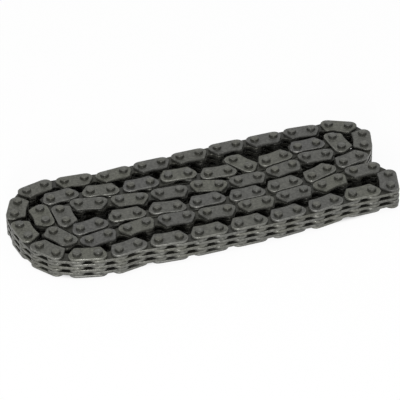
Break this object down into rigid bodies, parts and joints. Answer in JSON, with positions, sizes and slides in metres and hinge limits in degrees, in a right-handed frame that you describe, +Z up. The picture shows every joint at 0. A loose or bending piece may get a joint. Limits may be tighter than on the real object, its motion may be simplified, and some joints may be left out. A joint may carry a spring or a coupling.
{
  "type": "silent chain",
  "caption": "Endless silent chain of toothed plates and guide plates on riveted pins, laid on its side in folded rows; drives a camshaft sprocket.",
  "frame": {"origin": "on the ground under the middle of the laid chain", "axes": "+X along the folded rows, +Y from the front row to the back row, +Z up along the pins"},
  "size_m": [0.1214, 0.0468, 0.0087],
  "materials": {
    "guide_steel": "dark oiled",
    "plate_steel": "dark oiled",
    "pin_steel": "dark oiled",
    "link_steel": "dark oiled"
  },
  "bodies": {
    "folded_rows": {"row_4_guide_plates": "guide_steel", "row_4_inner_plates": "plate_steel", "row_4_tooth_plates": "plate_steel", "row_4_pins": "pin_steel", "row_3_guide_plates": "guide_steel", "row_3_inner_plates": "plate_steel", "row_3_tooth_plates": "plate_steel", "row_3_pins": "pin_steel", "row_2_guide_plates": "guide_steel", "row_2_inner_plates": "plate_steel", "row_2_tooth_plates": "plate_steel", "row_2_pins": "pin_steel", "row_5_guide_plates": "guide_steel", "row_5_inner_plates": "plate_steel", "row_5_tooth_plates": "plate_steel", "row_5_pins": "pin_steel"},
    "front_tooth_link_01": {"front_tooth_link_01": "link_steel"},
    "front_guide_link_01": {"front_guide_link_01": "link_steel"},
    "front_tooth_link_02": {"front_tooth_link_02": "link_steel"},
    "front_guide_link_02": {"front_guide_link_02": "link_steel"},
    "front_tooth_link_03": {"front_tooth_link_03": "link_steel"},
    "front_guide_link_03": {"front_guide_link_03": "link_steel"},
    "front_tooth_link_04": {"front_tooth_link_04": "link_steel"},
    "front_guide_link_04": {"front_guide_link_04": "link_steel"},
    "front_tooth_link_05": {"front_tooth_link_05": "link_steel"},
    "front_guide_link_05": {"front_guide_link_05": "link_steel"},
    "front_tooth_link_06": {"front_tooth_link_06": "link_steel"},
    "front_guide_link_06": {"front_guide_link_06": "link_steel"},
    "front_tooth_link_07": {"front_tooth_link_07": "link_steel"},
    "front_guide_link_07": {"front_guide_link_07": "link_steel"},
    "front_tooth_link_08": {"front_tooth_link_08": "link_steel"},
    "front_guide_link_08": {"front_guide_link_08": "link_steel"},
    "front_tooth_link_09": {"front_tooth_link_09": "link_steel"},
    "front_guide_link_09": {"front_guide_link_09": "link_steel"},
    "front_tooth_link_10": {"front_tooth_link_10": "link_steel"},
    "front_guide_link_10": {"front_guide_link_10": "link_steel"},
    "rear_guide_link_01": {"rear_guide_link_01": "link_steel"},
    "rear_tooth_link_01": {"rear_tooth_link_01": "link_steel"},
    "rear_guide_link_02": {"rear_guide_link_02": "link_steel"},
    "rear_tooth_link_02": {"rear_tooth_link_02": "link_steel"},
    "rear_guide_link_03": {"rear_guide_link_03": "link_steel"},
    "rear_tooth_link_03": {"rear_tooth_link_03": "link_steel"},
    "rear_guide_link_04": {"rear_guide_link_04": "link_steel"},
    "rear_tooth_link_04": {"rear_tooth_link_04": "link_steel"},
    "rear_guide_link_05": {"rear_guide_link_05": "link_steel"},
    "rear_tooth_link_05": {"rear_tooth_link_05": "link_steel"},
    "rear_guide_link_06": {"rear_guide_link_06": "link_steel"},
    "rear_tooth_link_06": {"rear_tooth_link_06": "link_steel"},
    "rear_guide_link_07": {"rear_guide_link_07": "link_steel"},
    "rear_tooth_link_07": {"rear_tooth_link_07": "link_steel"},
    "rear_guide_link_08": {"rear_guide_link_08": "link_steel"},
    "rear_tooth_link_08": {"rear_tooth_link_08": "link_steel"},
    "rear_guide_link_09": {"rear_guide_link_09": "link_steel"},
    "rear_tooth_link_09": {"rear_tooth_link_09": "link_steel"},
    "rear_guide_link_10": {"rear_guide_link_10": "link_steel"},
    "rear_tooth_link_10": {"rear_tooth_link_10": "link_steel"}
  },
  "joints": [
    {"name": "front_tooth_link_01_pivot", "type": "hinge", "parent": "folded_rows", "child": "front_tooth_link_01", "pos_m": [0.05475, -0.01842, 0], "axis": [0, 0, 1], "range_deg": [0, 30]},
    {"name": "front_guide_link_01_pivot", "type": "hinge", "parent": "front_tooth_link_01", "child": "front_guide_link_01", "pos_m": [0.0484, -0.01856, 0], "axis": [0, 0, -1], "range_deg": [-30, 0]},
    {"name": "front_tooth_link_02_pivot", "type": "hinge", "parent": "front_guide_link_01", "child": "front_tooth_link_02", "pos_m": [0.04205, -0.01856, 0], "axis": [0, 0, 1], "range_deg": [0, 30]},
    {"name": "front_guide_link_02_pivot", "type": "hinge", "parent": "front_tooth_link_02", "child": "front_guide_link_02", "pos_m": [0.03573, -0.01912, 0], "axis": [0, 0, -1], "range_deg": [-30, 0]},
    {"name": "front_tooth_link_03_pivot", "type": "hinge", "parent": "front_guide_link_02", "child": "front_tooth_link_03", "pos_m": [0.02948, -0.02022, 0], "axis": [0, 0, 1], "range_deg": [0, 30]},
    {"name": "front_guide_link_03_pivot", "type": "hinge", "parent": "front_tooth_link_03", "child": "front_guide_link_03", "pos_m": [0.02313, -0.02022, 0], "axis": [0, 0, -1], "range_deg": [-30, 0]},
    {"name": "front_tooth_link_04_pivot", "type": "hinge", "parent": "front_guide_link_03", "child": "front_tooth_link_04", "pos_m": [0.0168, -0.02077, 0], "axis": [0, 0, 1], "range_deg": [0, 30]},
    {"name": "front_guide_link_04_pivot", "type": "hinge", "parent": "front_tooth_link_04", "child": "front_guide_link_04", "pos_m": [0.01045, -0.02077, 0], "axis": [0, 0, -1], "range_deg": [-30, 0]},
    {"name": "front_tooth_link_05_pivot", "type": "hinge", "parent": "front_guide_link_04", "child": "front_tooth_link_05", "pos_m": [0.0041, -0.02077, 0], "axis": [0, 0, 1], "range_deg": [0, 30]},
    {"name": "front_guide_link_05_pivot", "type": "hinge", "parent": "front_tooth_link_05", "child": "front_guide_link_05", "pos_m": [-0.00225, -0.02077, 0], "axis": [0, 0, -1], "range_deg": [-30, 0]},
    {"name": "front_tooth_link_06_pivot", "type": "hinge", "parent": "front_guide_link_05", "child": "front_tooth_link_06", "pos_m": [-0.0086, -0.02077, 0], "axis": [0, 0, 1], "range_deg": [0, 30]},
    {"name": "front_guide_link_06_pivot", "type": "hinge", "parent": "front_tooth_link_06", "child": "front_guide_link_06", "pos_m": [-0.01495, -0.02077, 0], "axis": [0, 0, -1], "range_deg": [-30, 0]},
    {"name": "front_tooth_link_07_pivot", "type": "hinge", "parent": "front_guide_link_06", "child": "front_tooth_link_07", "pos_m": [-0.02128, -0.02022, 0], "axis": [0, 0, 1], "range_deg": [0, 30]},
    {"name": "front_guide_link_07_pivot", "type": "hinge", "parent": "front_tooth_link_07", "child": "front_guide_link_07", "pos_m": [-0.0276, -0.01966, 0], "axis": [0, 0, -1], "range_deg": [-30, 0]},
    {"name": "front_tooth_link_08_pivot", "type": "hinge", "parent": "front_guide_link_07", "child": "front_tooth_link_08", "pos_m": [-0.03386, -0.02077, 0], "axis": [0, 0, 1], "range_deg": [0, 30]},
    {"name": "front_guide_link_08_pivot", "type": "hinge", "parent": "front_tooth_link_08", "child": "front_guide_link_08", "pos_m": [-0.04018, -0.02021, 0], "axis": [0, 0, -1], "range_deg": [-30, 0]},
    {"name": "front_tooth_link_09_pivot", "type": "hinge", "parent": "front_guide_link_08", "child": "front_tooth_link_09", "pos_m": [-0.04631, -0.01854, 0], "axis": [0, 0, 1], "range_deg": [0, 30]},
    {"name": "front_guide_link_09_pivot", "type": "hinge", "parent": "front_tooth_link_09", "child": "front_guide_link_09", "pos_m": [-0.05188, -0.01549, 0], "axis": [0, 0, -1], "range_deg": [-30, 0]},
    {"name": "front_tooth_link_10_pivot", "type": "hinge", "parent": "front_guide_link_09", "child": "front_tooth_link_10", "pos_m": [-0.05546, -0.01025, 0], "axis": [0, 0, 1], "range_deg": [0, 30]},
    {"name": "front_guide_link_10_pivot", "type": "hinge", "parent": "front_tooth_link_10", "child": "front_guide_link_10", "pos_m": [-0.05726, -0.00416, 0], "axis": [0, 0, -1], "range_deg": [-30, 0]},
    {"name": "rear_guide_link_01_pivot", "type": "hinge", "parent": "folded_rows", "child": "rear_guide_link_01", "pos_m": [0.0556, 0.0177, 0], "axis": [0, 0, -1], "range_deg": [0, 30]},
    {"name": "rear_tooth_link_01_pivot", "type": "hinge", "parent": "rear_guide_link_01", "child": "rear_tooth_link_01", "pos_m": [0.04998, 0.02067, 0], "axis": [0, 0, 1], "range_deg": [-30, 0]},
    {"name": "rear_guide_link_02_pivot", "type": "hinge", "parent": "rear_tooth_link_01", "child": "rear_guide_link_02", "pos_m": [0.04365, 0.02011, 0], "axis": [0, 0, -1], "range_deg": [0, 30]},
    {"name": "rear_tooth_link_02_pivot", "type": "hinge", "parent": "rear_guide_link_02", "child": "rear_tooth_link_02", "pos_m": [0.03733, 0.02067, 0], "axis": [0, 0, 1], "range_deg": [-30, 0]},
    {"name": "rear_guide_link_03_pivot", "type": "hinge", "parent": "rear_tooth_link_02", "child": "rear_guide_link_03", "pos_m": [0.03098, 0.02067, 0], "axis": [0, 0, -1], "range_deg": [0, 30]},
    {"name": "rear_tooth_link_03_pivot", "type": "hinge", "parent": "rear_guide_link_03", "child": "rear_tooth_link_03", "pos_m": [0.02463, 0.02067, 0], "axis": [0, 0, 1], "range_deg": [-30, 0]},
    {"name": "rear_guide_link_04_pivot", "type": "hinge", "parent": "rear_tooth_link_03", "child": "rear_guide_link_04", "pos_m": [0.01828, 0.02067, 0], "axis": [0, 0, -1], "range_deg": [0, 30]},
    {"name": "rear_tooth_link_04_pivot", "type": "hinge", "parent": "rear_guide_link_04", "child": "rear_tooth_link_04", "pos_m": [0.01193, 0.02067, 0], "axis": [0, 0, 1], "range_deg": [-30, 0]},
    {"name": "rear_guide_link_05_pivot", "type": "hinge", "parent": "rear_tooth_link_04", "child": "rear_guide_link_05", "pos_m": [0.0056, 0.02011, 0], "axis": [0, 0, -1], "range_deg": [0, 30]},
    {"name": "rear_tooth_link_05_pivot", "type": "hinge", "parent": "rear_guide_link_05", "child": "rear_tooth_link_05", "pos_m": [-0.00075, 0.02011, 0], "axis": [0, 0, 1], "range_deg": [-30, 0]},
    {"name": "rear_guide_link_06_pivot", "type": "hinge", "parent": "rear_tooth_link_05", "child": "rear_guide_link_06", "pos_m": [-0.00707, 0.01956, 0], "axis": [0, 0, -1], "range_deg": [0, 30]},
    {"name": "rear_tooth_link_06_pivot", "type": "hinge", "parent": "rear_guide_link_06", "child": "rear_tooth_link_06", "pos_m": [-0.01342, 0.01956, 0], "axis": [0, 0, 1], "range_deg": [-30, 0]},
    {"name": "rear_guide_link_07_pivot", "type": "hinge", "parent": "rear_tooth_link_06", "child": "rear_guide_link_07", "pos_m": [-0.01975, 0.01901, 0], "axis": [0, 0, -1], "range_deg": [0, 30]},
    {"name": "rear_tooth_link_07_pivot", "type": "hinge", "parent": "rear_guide_link_07", "child": "rear_tooth_link_07", "pos_m": [-0.02607, 0.01845, 0], "axis": [0, 0, 1], "range_deg": [-30, 0]},
    {"name": "rear_guide_link_08_pivot", "type": "hinge", "parent": "rear_tooth_link_07", "child": "rear_guide_link_08", "pos_m": [-0.03233, 0.01956, 0], "axis": [0, 0, -1], "range_deg": [0, 30]},
    {"name": "rear_tooth_link_08_pivot", "type": "hinge", "parent": "rear_guide_link_08", "child": "rear_tooth_link_08", "pos_m": [-0.03865, 0.02011, 0], "axis": [0, 0, 1], "range_deg": [-30, 0]},
    {"name": "rear_guide_link_09_pivot", "type": "hinge", "parent": "rear_tooth_link_08", "child": "rear_guide_link_09", "pos_m": [-0.04498, 0.02066, 0], "axis": [0, 0, -1], "range_deg": [0, 30]},
    {"name": "rear_tooth_link_09_pivot", "type": "hinge", "parent": "rear_guide_link_09", "child": "rear_tooth_link_09", "pos_m": [-0.05111, 0.01902, 0], "axis": [0, 0, 1], "range_deg": [-30, 0]},
    {"name": "rear_guide_link_10_pivot", "type": "hinge", "parent": "rear_tooth_link_09", "child": "rear_guide_link_10", "pos_m": [-0.05535, 0.01429, 0], "axis": [0, 0, -1], "range_deg": [0, 30]},
    {"name": "rear_tooth_link_10_pivot", "type": "hinge", "parent": "rear_guide_link_10", "child": "rear_tooth_link_10", "pos_m": [-0.05792, 0.00848, 0], "axis": [0, 0, 1], "range_deg": [-30, 0]}
  ]
}
